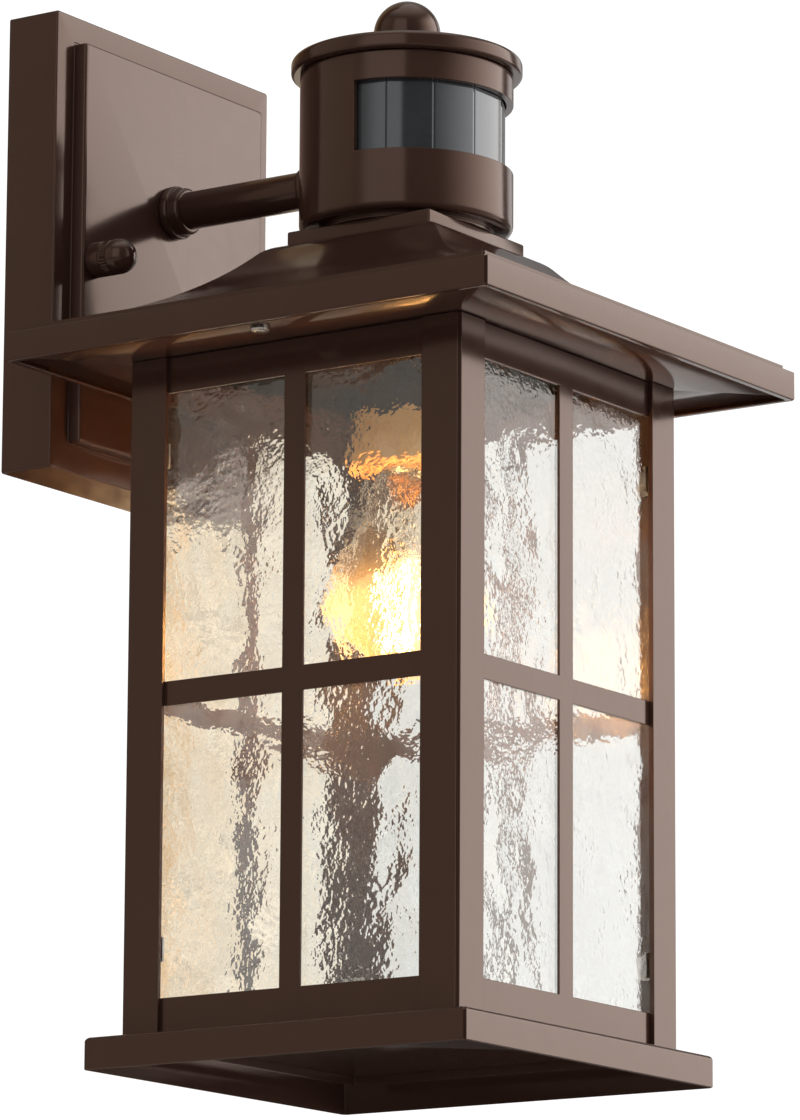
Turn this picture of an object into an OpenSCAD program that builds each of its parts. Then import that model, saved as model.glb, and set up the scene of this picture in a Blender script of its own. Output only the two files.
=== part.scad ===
// Outdoor wall lantern with a motion sensor.
// The wall is the plane y = 0 and the lantern stands out of it towards -Y, with +Z up.
// The origin is the centre of the mounting bar's two slots, on the wall.
// A square glass cage hangs under an ogee roof. The round sensor housing stands on the
// roof, and one arm joins it to the wall plate.

/* [Wall plate] */
// Width of the wall plate
plate_w = 150; // [146:1:170]
// Height of the wall plate
plate_h = 194; // [180:1:210]
// Depth of the wall plate's box
plate_d = 25; // [22:1:26]
// Height of the plate's centre above the mounting bar
plate_lift = 7; // [4:1:10]
// Width of the flat border around the raised panel
panel_border = 12; // [10:1:14]
// How far the raised panel stands out of the border
panel_rise = 6; // [5:0.5:7]
// Distance between the two cap nuts
nut_spacing = 110; // [108:1:112]

/* [Mounting bar] */
// Length of the mounting bar
bar_l = 124; // [122:1:128]
// Width of the mounting bar
bar_w = 25; // [22:1:28]
// Distance between the centres of the bar's slots
slot_spacing = 88.9; // [88.9:0.1:89.2]
// End-to-end length of each slot
slot_l = 12; // [10:1:12]
// Width of each slot
slot_w = 5; // [4.5:0.1:5]

/* [Arm] */
// Distance from the wall to the lantern's upright axis
reach = 149; // [149:1:160]
// Height of the arm above the mounting bar
arm_z = 32.5; // [30:0.5:33]
// Diameter of the arm tube
arm_dia = 16; // [14:1:18]

/* [Sensor] */
// Diameter of the sensor housing
housing_dia = 88; // [86:1:90]
// Height of the sensor housing
housing_h = 66; // [66:1:70]
// Diameter of the cap
cap_dia = 95.4; // [94:0.2:98]
// Thickness of the cap's rim
cap_h = 7; // [6:0.5:8]
// Diameter of the ball finial
ball_dia = 27.6; // [24:0.2:28]
// Sweep of the sensor window around the housing
window_sweep = 170; // [150:1:170]
// Height of the sensor window
window_h = 29.5; // [26:0.5:30]

/* [Roof] */
// Width of the roof
roof_w = 232; // [228:1:234]
// Height of the roof's flat fascia
fascia_h = 12; // [11:0.5:13]
// Width of the square step plate on the roof's crown
step_w = 70; // [68:1:72]
// Thickness of the step plate
step_t = 5.7; // [5:0.1:6]

/* [Cage] */
// Width of the cage across its posts
cage_w = 160; // [158:1:162]
// Height of the cage from the tray to the soffit
cage_h = 274.5; // [272:0.5:280]
// Width of each flange of a corner post
post_w = 18; // [16:1:20]
// Thickness of the post's sheet
post_t = 2; // [1.5:0.1:2]
// Width of the glazing bars
bar_face_w = 10; // [8:1:12]
// Height of the bottom rail
low_rail_h = 15; // [12:1:18]
// Height of the top rail
top_rail_h = 14.5; // [12:0.5:16]
// Height of the cross bar's lower edge over the tray
cross_bar_z = 132; // [120:1:140]
// Thickness of the glass
glass_t = 3; // [2.5:0.1:3]
// Width of the base tray
tray_w = 181; // [178:1:186]
// Height of the tray's rim
tray_h = 13; // [12:1:15]

/* [Bulb] */
// Diameter of the bulb's globe
bulb_dia = 60; // [56:1:62]
// Diameter of the bulb's screw base
base_dia = 26; // [25.8:0.1:26]

/* [Hidden] */

// Finishes
bronze = "#4a3a33";
steel = "#b9bcc0";
brass = "#c9a24a";
clear_glass = "#dfe6e4";
porcelain = "#ece6d8";
black_plastic = "#222326";
lens_grey = "#4a5158";

// Small sizes shared by several pieces
sheet_t = 1.2;       // thickness of the roof, frame and tray sheet
plate_t = 1.5;       // thickness of the wall plate
seat_gap = 0.2;      // gap between pieces that part or turn
run_gap = 0.05;      // radial running clearance of a turning fit
stud_r = 2;          // M4 studs and screws
nipple_r = 5;        // 10 mm lamp thread
nipple_bore_r = 3.6;
lead_d = 2.8;
fine = 96;           // facets of large round pieces
small = 48;          // facets of small round pieces

// Levels, all measured from the mounting bar's centre line
crown_z = -1;
housing_z = crown_z + step_t + 1.9;
housing_top = housing_z + housing_h;
cap_z = housing_top + seat_gap;
ball_z = cap_z + cap_h + 11.7;
window_z = housing_z + 24.7;
soffit_z = -53.5;
tray_z = soffit_z - cage_h;
fascia_z = soffit_z - 2;
eave_z = fascia_z + fascia_h;
plate_front = plate_d + panel_rise;

// Half widths
roof_half = roof_w / 2;
lip_half = roof_half - 3;
ledge_half = roof_half - 3.5;
cage_half = cage_w / 2;
frame_half = cage_half - post_t;
glass_half = frame_half - sheet_t;
inner_half = glass_half - glass_t;
housing_r = housing_dia / 2;
housing_wall = 3;
housing_bore_r = housing_r - housing_wall;
floor_top = housing_z + 3;
plate_level = housing_z + 57.4; // underside of the control plate
cage_screw_half = 102;

// ---- helpers ----

// A rounded rectangle made of true arcs
module rounded_rect(w, h, r) {
  square([w - 2 * r, h], center = true);
  square([w, h - 2 * r], center = true);
  for (x = [-1, 1], y = [-1, 1])
    translate([x * (w / 2 - r), y * (h / 2 - r)]) circle(r, $fn = small);
}

// Stands an outline on the wall side, depth d away from the wall, rising towards -Y
module from_wall(d, z = 0) {
  translate([0, -d, z]) rotate([90, 0, 0]) children();
}

// Moves a piece to the lantern's upright axis
module on_axis(z = 0) {
  translate([0, -reach, z]) children();
}

// A square block centred on its own axis, from its underside up
module block(w, h) {
  translate([-w / 2, -w / 2, 0]) cube([w, w, h]);
}

// A square frame: a block with a square opening right through it
module square_ring(outer, inner, h) {
  difference() {
    block(outer, h);
    translate([0, 0, -1]) block(inner, h + 2);
  }
}

module pipe(r, bore, h, facets = small) {
  difference() {
    cylinder(r = r, h = h, $fn = facets);
    translate([0, 0, -1]) cylinder(r = bore, h = h + 2, $fn = facets);
  }
}

module hex_nut(across_flats, bore, h) {
  difference() {
    cylinder(d = across_flats / cos(30), h = h, $fn = 6);
    translate([0, 0, -1]) cylinder(r = bore, h = h + 2, $fn = small);
  }
}

// Point on a quadratic curve from a to c that leaves and arrives along b
function curve(a, b, c, t) = (1 - t) * (1 - t) * a + 2 * t * (1 - t) * b + t * t * c;
function curve_points(a, b, c, n) = [for (i = [0:n]) curve(a, b, c, i / n)];
function shifted(points, by) = [for (p = points) p + by];
function reversed(points) = [for (i = [len(points) - 1:-1:0]) points[i]];

// Turns an outline of [half width, height] points into a four-sided shape
module square_lathe(points) {
  rotate([0, 0, 45]) rotate_extrude($fn = 4)
    polygon([for (p = points) [p[0] * sqrt(2), p[1]]]);
}

// ---- wires ----

function at(points, i) = points[max(0, min(len(points) - 1, i))];
function unit(v) = v / norm(v);
function heading(path, i) = unit(at(path, i + 1) - at(path, i - 1));
function side_of(d) = unit(cross(d, abs(d[0]) < 0.8 ? [1, 0, 0] : [0, 0, 1]));
// Each ring's side vector follows the last one, so that the tube never twists
function carried(v, d) = unit(v - (v * d) * d);
function sides(path, i = 0, v = undef) = i == len(path) ? []
  : let (d = heading(path, i), w = is_undef(v) ? side_of(d) : carried(v, d))
    concat([w], sides(path, i + 1, w));

// A round tube swept along a path
module wire(path, d = lead_d) {
  across = sides(path);
  around = 8;
  rings = len(path);
  verts = [for (i = [0:rings - 1], k = [0:around - 1])
    let (u = across[i], v = cross(heading(path, i), u), a = 360 * k / around)
      path[i] + d / 2 * (cos(a) * u + sin(a) * v)];
  walls = [for (i = [0:rings - 2], k = [0:around - 1])
    let (a = i * around + k, b = i * around + (k + 1) % around)
      [a, a + around, b + around, b]];
  ends = [[for (k = [0:around - 1]) k],
    [for (k = [around - 1:-1:0]) (rings - 1) * around + k]];
  polyhedron(verts, concat(walls, ends), convexity = 4);
}

// Routes of the leads, in absolute positions. The mirrored twin of each runs beside it.
lead_gap = 1.7; // from the bore's axis to each lead's centre
supply_route = concat(
  [[12, -9, 58], [9, -9, 50], [4, -13, 41], [1.7, -20, 34]],
  [for (y = [-28:-9:-118]) [lead_gap, y, arm_z]],
  [[2.5, -124, 35], [5, -130, 38.5], [8, -136, 42], [9, -141, 44], [9, -145.4, 44]]);
lamp_route = concat(
  [[9, -145.4, 25], [9, -141, 25], [7, -138.5, 23], [4, -140, 20.5], [2.2, -144, 19],
   [1.7, -148, 17]],
  [for (z = [13:-8:-59]) [lead_gap, -149, z]]);
ground_route = [
  [22, -6, 0], [22, -10, 1], [18, -14, 8], [6, -12, 15], [-14, -10, 16], [-34, -9, 24],
  [-34, -9, 40], [-32, -9, 58]
];
nut_mouth_z = 57;

// ---- wall side ----

module slot_outline() {
  square([slot_l - slot_w, slot_w], center = true);
  for (x = [-1, 1]) translate([x * (slot_l - slot_w) / 2, 0]) circle(d = slot_w, $fn = small);
}

ground_x = 22;
bar_t = 2;

module crossbar() {
  color(steel) from_wall(0) linear_extrude(bar_t) difference() {
    rounded_rect(bar_l, bar_w, 3);
    for (x = [-1, 1]) {
      translate([x * slot_spacing / 2, 0]) slot_outline();
      translate([x * nut_spacing / 2, 0]) circle(stud_r, $fn = small);
    }
    translate([ground_x, 0]) circle(stud_r, $fn = small);
  }
}

module crossbar_studs() {
  color(steel) for (x = [-1, 1])
    translate([x * nut_spacing / 2, 0, 0]) from_wall(0) cylinder(r = stud_r, h = 44, $fn = small);
}

module stud_nuts() {
  color(steel) for (x = [-1, 1])
    translate([x * nut_spacing / 2, 0, 0]) from_wall(bar_t) hex_nut(7, stud_r, 3.2);
}

module ground_screw() {
  color("#2f7a3a") translate([ground_x, 0, 0]) {
    from_wall(0) cylinder(r = stud_r, h = bar_t, $fn = small);
    from_wall(bar_t) difference() {
      cylinder(d = 8 / cos(30), h = 3, $fn = 6);
      translate([-5, -0.6, 2]) cube([10, 1.2, 2]);
    }
  }
}

plate_inner_w = plate_w - 2 * plate_t;
plate_inner_h = plate_h - 2 * plate_t;
panel_w = plate_w - 2 * panel_border;
panel_h = plate_h - 2 * panel_border;

module wall_plate() {
  color(bronze) difference() {
    union() {
      from_wall(0, plate_lift) linear_extrude(plate_d) rounded_rect(plate_w, plate_h, 1.2);
      from_wall(plate_d, plate_lift) linear_extrude(panel_rise) rounded_rect(panel_w, panel_h, 1.5);
    }
    from_wall(-1, plate_lift) linear_extrude(plate_d - plate_t + 1)
      rounded_rect(plate_inner_w, plate_inner_h, 1);
    from_wall(plate_d - plate_t - 1, plate_lift) linear_extrude(panel_rise + 1)
      rounded_rect(panel_w - 2 * plate_t, panel_h - 2 * plate_t, 1);
    from_wall(plate_d, arm_z) cylinder(r = nipple_r, h = panel_rise + 1, $fn = small);
    for (x = [-1, 1]) translate([x * nut_spacing / 2, 0, 0])
      from_wall(plate_d, 0) cylinder(r = stud_r + 0.3, h = panel_rise + 1, $fn = small);
  }
}

module wall_gasket() {
  color("#1b1b1b") from_wall(0, plate_lift) linear_extrude(5) difference() {
    rounded_rect(plate_inner_w, plate_inner_h, 1);
    rounded_rect(plate_inner_w - 8, plate_inner_h - 8, 1);
  }
}

// Domed nut with a knurled band, on the end of a bar stud
nut_r = 7.3;
nut_l = 20;

module cap_nut(side) {
  dome_h = 7.4;
  dome = [for (a = [0:10:90]) [nut_r * cos(a), nut_l - dome_h + dome_h * sin(a)]];
  color(bronze) translate([side * nut_spacing / 2, 0, 0]) from_wall(plate_front + seat_gap)
    rotate_extrude($fn = fine) polygon(concat(
      [[stud_r + run_gap, 0], [nut_r - 0.4, 0], [nut_r, 0.4], [nut_r, 6], [nut_r - 0.3, 6.3],
       [nut_r - 0.3, 6.9], [nut_r, 7.2], [nut_r, 10], [nut_r - 0.3, 10.3], [nut_r - 0.3, 10.9],
       [nut_r, 11.2]],
      dome, [[0, 13], [stud_r + run_gap, 13]]));
}

// ---- arm ----

arm_r = arm_dia / 2;
arm_end = reach - housing_r;

// Cuts whatever enters the round sensor housing
module outside_housing() {
  difference() {
    children();
    on_axis(housing_z) cylinder(r = housing_r, h = housing_h, $fn = fine);
  }
}

module arm_flange() {
  color(bronze) from_wall(plate_front, arm_z) rotate_extrude($fn = fine) polygon([
    [arm_r, 0], [arm_r + 3.3, 0], [arm_r + 3.3, 3.2], [arm_r + 2.8, 4.2], [arm_r + 1.9, 4.6],
    [arm_r + 1.9, 7.4], [arm_r + 1.3, 8.2], [arm_r, 8.6]]);
}

module arm_tube() {
  color(bronze) outside_housing()
    from_wall(plate_front, arm_z) pipe(arm_r, nipple_r, arm_end + 2 - plate_front, fine);
}

module arm_collar() {
  color(bronze) outside_housing() from_wall(arm_end - 5, arm_z)
    rotate_extrude($fn = fine) polygon([
      [arm_r, 0], [arm_r + 1.4, 0], [arm_r + 1.4, 1.6], [arm_r + 2.6, 2.2], [arm_r + 2.6, 8],
      [arm_r, 8]]);
}

module arm_nipples() {
  color(steel) {
    from_wall(22, arm_z) pipe(nipple_r, nipple_bore_r, 24);
    from_wall(arm_end - 13, arm_z) pipe(nipple_r, nipple_bore_r, 20);
  }
}

// Lock nuts: inside the wall plate, inside the housing, on its floor and under the crown
module nipple_nuts() {
  color(steel) {
    from_wall(plate_front - plate_t - 3.5, arm_z) hex_nut(15, nipple_r, 3.5);
    from_wall(arm_end + 4.1, arm_z) hex_nut(15, nipple_r, 3.4);
    on_axis(floor_top) hex_nut(15, nipple_r, 3.4);
    on_axis(crown_z - skin_drop - 3.5) hex_nut(15, nipple_r, 3.5);
  }
}

// ---- roof and lamp fitting ----

crown_hole_half = nipple_r + 0.2;
shoulder = curve_points([step_w / 2, crown_z], [40.9, crown_z - 1.2], [44, crown_z - 4.6], 5);
eave_edge = [ledge_half, eave_z + 2.6];
flare = curve_points([44, crown_z - 4.6], [67.1, crown_z - 30], eave_edge, 18);
roof_skin = concat(shoulder, [for (i = [1:len(flare) - 1]) flare[i]]);
skin_drop = 1.4; // how far the shell's inner surface lies below its outer one
skin_in = shifted(roof_skin, [-0.9, -skin_drop]);

module step_plate() {
  color(bronze) on_axis(crown_z) difference() {
    block(step_w, step_t);
    translate([0, 0, -1]) cylinder(r = nipple_r, h = step_t + 2, $fn = small);
  }
}

module roof_shell() {
  outer = concat([[crown_hole_half, crown_z]], roof_skin,
    [[ledge_half, eave_z], [roof_half, eave_z], [roof_half, fascia_z],
     [lip_half, fascia_z], [lip_half, fascia_z + 0.8], [roof_half - sheet_t, fascia_z + 0.8],
     [roof_half - sheet_t, eave_z - sheet_t], [ledge_half - 0.9, eave_z - sheet_t]]);
  inner = concat(reversed(skin_in), [[crown_hole_half, crown_z - skin_drop]]);
  color(bronze) on_axis() square_lathe(concat(outer, inner));
}

// A bracket inside the left and right fascia takes each soffit screw
module roof_tabs() {
  foot_z = soffit_z + sheet_t + seat_gap;
  inner = roof_half - sheet_t;
  color(steel) on_axis(foot_z) for (turn = [0, 180]) rotate([0, 0, turn]) difference() {
    union() {
      translate([inner - 22, -7, 0]) cube([22, 14, 1.5]);
      translate([inner - 1.5, -7, 0]) cube([1.5, 14, 6]);
    }
    translate([cage_screw_half, 0, -1]) cylinder(r = stud_r, h = 4, $fn = small);
  }
}

holder_r = 20;
holder_z = -92;
holder_h = 42;
holder_bore_r = base_dia / 2 + 0.6;
holder_bore_h = 26;
stem_low = holder_z + holder_h - 8;

module stem_tube() {
  color(brass) on_axis(stem_low) pipe(nipple_r, nipple_bore_r, floor_top + 4 - stem_low);
}

module lampholder() {
  top = holder_z + holder_h;
  pocket = stem_low - 5;
  cavity = holder_z + holder_bore_h;
  color(porcelain) on_axis() rotate_extrude($fn = fine) polygon([
    [holder_bore_r, holder_z], [holder_r - 1, holder_z], [holder_r, holder_z + 1],
    [holder_r, top - 14], [holder_r - 4, top - 8], [holder_r - 8, top - 6], [holder_r - 8, top],
    [nipple_r, top], [nipple_r, stem_low], [4, stem_low], [4, pocket], [0, pocket],
    [0, cavity], [holder_bore_r, cavity]]);
}

module screw_shell() {
  color(brass) on_axis(holder_z + 1)
    pipe(holder_bore_r, base_dia / 2 + run_gap, holder_bore_h - 3, fine);
}

// Springy tongue that the bulb's tip presses against
module centre_contact() {
  color(brass) on_axis(holder_z + holder_bore_h) {
    translate([-3, -8, -1]) cube([6, 14, 1]);
    translate([0, 0, -1.6]) cylinder(r = 3, h = 0.6, $fn = small);
  }
}

// ---- sensor ----

// Curved wall around the axis, centred on the front, from level low to level high
module front_arc(r_in, r_out, low, high, sweep) {
  rotate([0, 0, -90 - sweep / 2]) rotate_extrude(angle = sweep, $fn = fine)
    translate([r_in, low]) square([r_out - r_in, high - low]);
}

boss_x = 31;
boss_y = 20;
boss_r = 3.5;

module at_bosses() {
  for (x = [-1, 1]) translate([x * boss_x, boss_y, 0]) children();
}

module sensor_housing() {
  foot_r = housing_r - 8;
  edge = [for (a = [-90:15:0]) [housing_r - 3 + 3 * cos(a), housing_z + 3 + 3 * sin(a)]];
  color(bronze) difference() {
    on_axis() {
      rotate_extrude($fn = fine) polygon(concat(
        [[nipple_r, crown_z + step_t], [foot_r, crown_z + step_t], [foot_r, housing_z]],
        edge,
        [[housing_r, housing_top], [housing_bore_r, housing_top], [housing_bore_r, floor_top],
         [nipple_r, floor_top]]));
      at_bosses() translate([0, 0, floor_top - 1])
        pipe(boss_r, 1.5, plate_level - floor_top + 1);
    }
    on_axis() front_arc(housing_bore_r - 1, housing_r + 2, window_z, window_z + window_h,
      window_sweep);
    from_wall(arm_end - 1, arm_z) cylinder(r = nipple_r, h = 8, $fn = small);
  }
}

lens_r = housing_bore_r - 0.1;
lens_t = 2.2;

module sensor_lens() {
  color(lens_grey) on_axis()
    front_arc(lens_r - lens_t, lens_r, window_z - 2, window_z + window_h + 2, window_sweep + 6);
}

module lens_retainer() {
  outer = lens_r - lens_t - 0.1;
  color(black_plastic) on_axis() difference() {
    front_arc(outer - 2, outer, floor_top, plate_level, window_sweep + 14);
    front_arc(outer - 3, outer + 1, window_z + 1, window_z + window_h - 1, window_sweep - 4);
  }
}

board_y = 2;
board_t = 1.6;
board_w = 56;
board_low = floor_top + 5;

// The board's lower edge is notched where the lamp leads pass under it
module sensor_board() {
  color("#2d5b3b") on_axis(board_low) difference() {
    translate([-board_w / 2, board_y, 0]) cube([board_w, board_t, 43]);
    translate([-6, board_y - 1, -1]) cube([12, board_t + 2, 9]);
  }
}

// A slotted block under each end of the board
module board_holder() {
  color(black_plastic) on_axis(floor_top) for (x = [-24, 14]) difference() {
    translate([x, board_y - 4, 0]) cube([10, board_t + 8, 9]);
    translate([x - 1, board_y, 5]) cube([12, board_t, 5]);
  }
}

module infrared_element() {
  color(steel) on_axis(window_z + window_h / 2) translate([0, board_y, 0]) rotate([90, 0, 0]) {
    cylinder(r = 4.6, h = 0.8, $fn = small);
    cylinder(r = 4.1, h = 4.2, $fn = small);
  }
}

module relay() {
  color("#2a4f8f") on_axis(floor_top + 12)
    translate([-27, board_y + board_t, 0]) cube([13, 14, 18]);
}

module capacitor() {
  color("#3a3a44") on_axis(floor_top + 20)
    translate([18, board_y + board_t + 5, 0]) cylinder(r = 5, h = 14, $fn = small);
}

dial_x = 16;
dial_y = -10;
plate_top = plate_level + 2;

module at_dial(side) {
  on_axis() translate([side * dial_x, dial_y, 0]) children();
}

module control_plate() {
  color(black_plastic) difference() {
    on_axis(plate_level) cylinder(r = housing_bore_r - 0.2, h = 2, $fn = fine);
    on_axis(plate_level - 1) {
      cylinder(r = stud_r, h = 4, $fn = small);
      at_bosses() cylinder(r = 1.7, h = 4, $fn = small);
    }
    for (side = [-1, 1])
      at_dial(side) translate([0, 0, plate_level - 1]) cylinder(r = 2.4, h = 4, $fn = small);
  }
}

module plate_screws() {
  color(steel) on_axis() at_bosses() {
    translate([0, 0, plate_top]) cylinder(r = 3, h = 2, $fn = small);
    translate([0, 0, plate_level - 8]) cylinder(r = 1.5, h = 10, $fn = small);
  }
}

module dial_pots() {
  color("#27406a") for (side = [-1, 1])
    at_dial(side) translate([0, 0, plate_level - 6]) pipe(5, stud_r + run_gap, 6);
}

module dial(side, tint) {
  color(tint) at_dial(side) translate([0, 0, plate_top + seat_gap]) {
    difference() {
      cylinder(r = 5.5, h = 3.2, $fn = small);
      translate([-0.6, -4.5, 2]) cube([1.2, 9, 2]);
    }
    translate([0, 0, -6]) cylinder(r = stud_r, h = 6, $fn = small);
  }
}

stud_top = cap_z + cap_h + 11;

module finial_stud() {
  color(steel) on_axis() {
    translate([0, 0, plate_level - 3.2]) cylinder(r = stud_r, h = stud_top - plate_level + 3.2,
      $fn = small);
    translate([0, 0, plate_level - 3.2]) hex_nut(7, stud_r, 3.2);
    translate([0, 0, plate_top]) hex_nut(7, stud_r, 3.2);
  }
}

module housing_cap() {
  r = cap_dia / 2;
  top = cap_z + cap_h;
  spigot_r = housing_bore_r - 0.4;
  brim = [for (a = [0:15:90]) [r - 2.5 + 2.5 * cos(a), top - 2.5 + 2.5 * sin(a)]];
  color(bronze) on_axis() rotate_extrude($fn = fine) polygon(concat(
    [[spigot_r - 2, cap_z - 3], [spigot_r, cap_z - 3], [spigot_r, cap_z], [r - 1.2, cap_z],
     [r, cap_z + 1.2]],
    brim,
    [[stud_r + 0.3, top], [stud_r + 0.3, top - 2.5], [spigot_r - 2, top - 2.5]]));
}

module ball_finial() {
  seat = cap_z + cap_h + seat_gap;
  color(bronze) on_axis() difference() {
    translate([0, 0, ball_z]) sphere(d = ball_dia, $fn = fine);
    translate([0, 0, seat - 10]) cylinder(r = ball_dia, h = 10, $fn = small);
    translate([0, 0, seat - 1]) cylinder(r = stud_r + run_gap, h = stud_top + 2 - seat, $fn = small);
  }
}

// ---- leads ----

module supply_leads() {
  color("#202020") for (side = [0, 1]) mirror([side, 0, 0]) wire(supply_route);
}

module lamp_leads() {
  color("#d8d4c8") for (side = [0, 1]) mirror([side, 0, 0]) wire(lamp_route);
}

module ground_lead() {
  color("#2f7a3a") wire(ground_route);
}

// Screw-on caps over the ends of the supply leads and the ground lead
module wire_nuts() {
  color("#c8742b") for (p = [[12, -9], [-12, -9], [-32, -9]])
    translate([p[0], p[1], nut_mouth_z]) difference() {
      cylinder(r1 = 5, r2 = 3.4, h = 17, $fn = small);
      translate([0, 0, -1]) cylinder(r = 2, h = 6, $fn = small);
    }
}

// ---- cage ----

module soffit_plate() {
  color(bronze) on_axis(soffit_z) difference() {
    square_ring(2 * (lip_half - 0.4), 2 * (inner_half - 4), sheet_t);
    for (side = [-1, 1])
      translate([side * cage_screw_half, 0, -1]) cylinder(r = stud_r + 0.2, h = 4, $fn = small);
  }
}

// An angle with a slim rebate along its outer corner
module post_outline() {
  rebate = 1.2;
  difference() {
    square(post_w);
    translate([post_t, post_t]) square(post_w);
    translate([-1, -1]) square(1 + rebate);
  }
}

module corner_posts() {
  color(bronze) on_axis(tray_z) for (turn = [0:90:270]) rotate([0, 0, turn])
    translate([-cage_half, -cage_half, 0]) linear_extrude(cage_h) post_outline();
}

// A pressed sheet with four panes' openings, its side strips hidden behind the posts
window_half = cage_half - post_w + 1.5;
frame_w = 2 * (glass_half - 1.8);

module frame_outline() {
  difference() {
    translate([-frame_w / 2, 0]) square([frame_w, cage_h]);
    for (x = [-window_half, bar_face_w / 2]) {
      w = window_half - bar_face_w / 2;
      translate([x, low_rail_h]) square([w, cross_bar_z - low_rail_h]);
      translate([x, cross_bar_z + bar_face_w])
        square([w, cage_h - top_rail_h - cross_bar_z - bar_face_w]);
    }
  }
}

// Turn 0 is the front of the cage, 90 its right side
module side_frame(turn) {
  color(bronze) on_axis(tray_z) rotate([0, 0, turn])
    translate([0, -glass_half, 0]) rotate([90, 0, 0]) linear_extrude(sheet_t) frame_outline();
}

pane_w = 2 * (inner_half - 1.8);
pane_low = 3;
pane_top = cage_h - 5;

module pane(turn) {
  color(clear_glass, 0.35) on_axis(tray_z + pane_low) rotate([0, 0, turn])
    translate([-pane_w / 2, -glass_half, 0]) cube([pane_w, glass_t, pane_top - pane_low]);
}

// Angle springs riveted into the posts' corners press each pane's edges outwards
module corner_clip() {
  corner = inner_half - 1;
  translate([-inner_half, -inner_half, 0]) {
    translate([0, 1, 0]) cube([1, 9, 10]);
    translate([1, 0, 0]) cube([9, 1, 10]);
  }
  translate([-corner, -corner, 0]) block(2, 10);
  translate([-corner, -corner, 5]) rotate([0, 90, 225])
    cylinder(r = 0.9, h = (frame_half - corner) * sqrt(2) - 0.9, $fn = small);
}

module glass_clips() {
  color(steel) on_axis(tray_z) for (turn = [0:90:270], z = [30, 230])
    rotate([0, 0, turn]) translate([0, 0, z]) corner_clip();
}

tray_opening = 2 * (glass_half - 3.8);

module base_tray() {
  color(bronze) on_axis(tray_z) {
    difference() {
      translate([0, 0, -tray_h]) block(tray_w, tray_h);
      translate([0, 0, -tray_h - 1]) block(tray_w - 2 * sheet_t, tray_h + 1 - sheet_t);
      translate([0, 0, -tray_h]) block(tray_opening, tray_h + 1);
    }
    translate([0, 0, -3.4]) square_ring(tray_opening + 2 * sheet_t, tray_opening, 3.4);
  }
}

module floor_plate() {
  color(bronze) on_axis(tray_z) block(tray_opening + 6, sheet_t);
}

module cage_screws() {
  color(steel) on_axis(soffit_z) for (side = [-1, 1])
    translate([side * cage_screw_half, 0, 0]) {
      translate([0, 0, -2.6]) difference() {
        rotate_extrude($fn = small) polygon(concat([[0, 2.6], [4, 2.6]],
          [for (a = [0:15:75]) [3 * cos(a) + 1, 1.2 - 1.2 * sin(a)]], [[0, 0]]));
        for (a = [0, 90]) rotate([0, 0, a]) translate([-2.2, -0.4, -1]) cube([4.4, 0.8, 2.2]);
      }
      cylinder(r = stud_r - run_gap, h = 8, $fn = small);
    }
}

// ---- bulb ----

globe_z = -148;
globe_r = bulb_dia / 2;
neck_z = -95;
neck_r = base_dia / 2 - 0.4;
glass_wall = 0.9;

// Outline of the bulb's envelope from its tip up to its neck, drawn in by a wall
function bulb_outline(wall) = let (
    r = globe_r - wall,
    join = [r * cos(30), globe_z + r * sin(30)],
    bend = [neck_r - wall + 2.6, globe_z + r * sin(30) + (r * cos(30) - neck_r + wall - 2.6) * tan(60)])
  concat([for (a = [-90:10:30]) [r * cos(a), globe_z + r * sin(a)]],
    [for (i = [1:8]) curve(join, bend, [neck_r - wall, neck_z], i / 8)]);

module bulb_glass() {
  color(clear_glass, 0.35) on_axis() rotate_extrude($fn = fine)
    polygon(concat(bulb_outline(0), reversed(bulb_outline(glass_wall))));
}

base_top = holder_z + holder_bore_h - 6;

module bulb_base() {
  color(brass) on_axis() rotate_extrude($fn = fine) polygon([
    [neck_r, neck_z], [base_dia / 2, neck_z], [base_dia / 2, base_top - 2],
    [base_dia / 2 - 3, base_top], [6, base_top], [6, base_top - 1],
    [base_dia / 2 - 3.4, base_top - 1], [neck_r, base_top - 3]]);
}

module bulb_contact() {
  color(black_plastic) on_axis(base_top - 1) rotate_extrude($fn = small)
    polygon([[0, -1], [6, -1], [6, 1.6], [4.6, 2.6], [4.6, 4], [0, 4.2]]);
}

filament_z = -151;
filament_l = 34;

module filament_stem() {
  color(clear_glass) on_axis() rotate_extrude($fn = small) polygon([
    [0, filament_z + 20], [2, filament_z + 20], [2.6, neck_z - 12], [7, neck_z - 2],
    [neck_r - glass_wall - 0.2, neck_z + 0.4], [neck_r - glass_wall - 0.2, neck_z + 1.4], [0, neck_z + 1.4]]);
}

module filaments() {
  color("#ffb347") on_axis(filament_z) for (turn = [45:90:315]) rotate([0, 0, turn])
    translate([7.5, 0, 0]) rotate([0, 12, 0]) translate([0, 0, -filament_l / 2])
      cylinder(r = 0.9, h = filament_l, $fn = small);
}

// ---- assembly ----

crossbar();
crossbar_studs();
stud_nuts();
ground_screw();
wall_plate();
wall_gasket();
arm_flange();
arm_tube();
arm_collar();
arm_nipples();
nipple_nuts();
cap_nut(-1);  // left_cap_nut
cap_nut(1);  // right_cap_nut
step_plate();
roof_shell();
roof_tabs();
stem_tube();
lampholder();
screw_shell();
centre_contact();
sensor_housing();
sensor_lens();
lens_retainer();
sensor_board();
board_holder();
infrared_element();
relay();
capacitor();
control_plate();
plate_screws();
dial_pots();
dial(-1, "#d8d8d8");  // time_dial
dial(1, "#e0a030");  // lux_dial
finial_stud();
housing_cap();
ball_finial();
supply_leads();
ground_lead();
lamp_leads();
wire_nuts();
soffit_plate();
corner_posts();
side_frame(0);  // frame_front
side_frame(90);  // frame_right
side_frame(180);  // frame_back
side_frame(270);  // frame_left
pane(0);  // glass_front
pane(90);  // glass_right
pane(180);  // glass_back
pane(270);  // glass_left
glass_clips();
base_tray();
floor_plate();
cage_screws();
bulb_glass();
bulb_base();
bulb_contact();
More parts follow.
